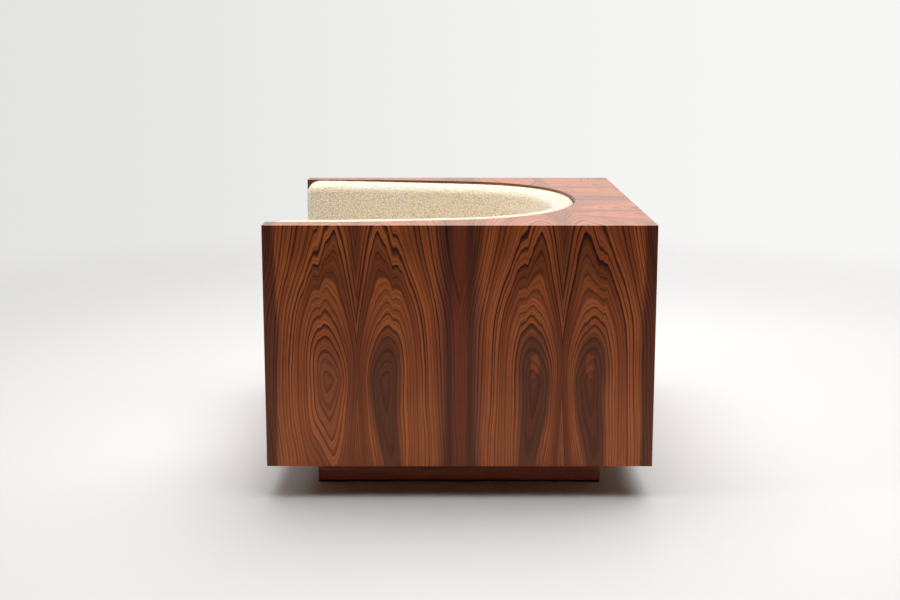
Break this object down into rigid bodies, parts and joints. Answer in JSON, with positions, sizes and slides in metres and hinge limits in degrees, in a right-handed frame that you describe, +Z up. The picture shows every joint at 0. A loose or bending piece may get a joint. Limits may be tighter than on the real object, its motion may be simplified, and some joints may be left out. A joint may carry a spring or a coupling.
{
  "type": "cube lounge chair",
  "caption": "Low box-shaped lounge chair: veneered cube case with a horseshoe-shaped padded well open at the front, loose seat cushion and recessed plinth.",
  "frame": {"origin": "on the floor under the middle of the chair's outline", "axes": "+X towards the sitter's left arm, -Y towards the open front, +Z up"},
  "size_m": [0.82, 0.78, 0.562],
  "materials": {
    "rosewood": "satin lacquered book-matched rosewood veneer",
    "lipping_wood": "satin lacquered solid lipping",
    "plinth_wood": "dark stained, matt",
    "plywood": "bare ply",
    "beech": "bare solid wood",
    "foam": "open-cell foam",
    "boucle": "cream looped boucle",
    "deck_cloth": "plain woven cloth over thin wadding",
    "webbing": "woven elastic webbing",
    "steel": "bright zinc plated",
    "pad_rubber": "matt dark rubber"
  },
  "bodies": {
    "chair": {"arm_cap_left": "rosewood", "arm_cap_right": "rosewood", "arm_front_left": "rosewood", "arm_front_right": "rosewood", "arm_lipping_left": "lipping_wood", "arm_lipping_right": "lipping_wood", "back_cap": "rosewood", "back_panel": "rosewood", "back_post_left": "beech", "back_post_right": "beech", "back_rib_left": "plywood", "back_rib_right": "plywood", "base_board": "plywood", "deck_pad": "deck_cloth", "foot_pads": "pad_rubber", "former_lower": "plywood", "former_upper": "plywood", "front_rail": "rosewood", "front_stile_left": "beech", "front_stile_right": "beech", "glue_blocks": "beech", "inner_shell": "plywood", "lining_cover": "boucle", "lining_foam": "foam", "panel_dowels": "beech", "plinth_back": "plinth_wood", "plinth_blocks": "beech", "plinth_front": "plinth_wood", "plinth_left": "plinth_wood", "plinth_right": "plinth_wood", "plinth_screws": "steel", "plinth_stretcher": "beech", "rim_band": "lipping_wood", "seat_bearer_back": "beech", "seat_bearer_left": "beech", "seat_bearer_right": "beech", "seat_frame": "plywood", "side_panel_left": "rosewood", "side_panel_right": "rosewood", "side_rib_left": "plywood", "side_rib_right": "plywood", "webbing_crosswise": "webbing", "webbing_lengthwise": "webbing", "webbing_staples": "steel"},
    "seat_cushion": {"cushion_bottom": "boucle", "cushion_band": "boucle", "cushion_top": "boucle", "cushion_foam": "foam"}
  },
  "joints": [
    {"name": "seat_cushion_lift", "type": "slide", "parent": "chair", "child": "seat_cushion", "axis": [0, 0, 1], "range_m": [0, 0.33]}
  ]
}
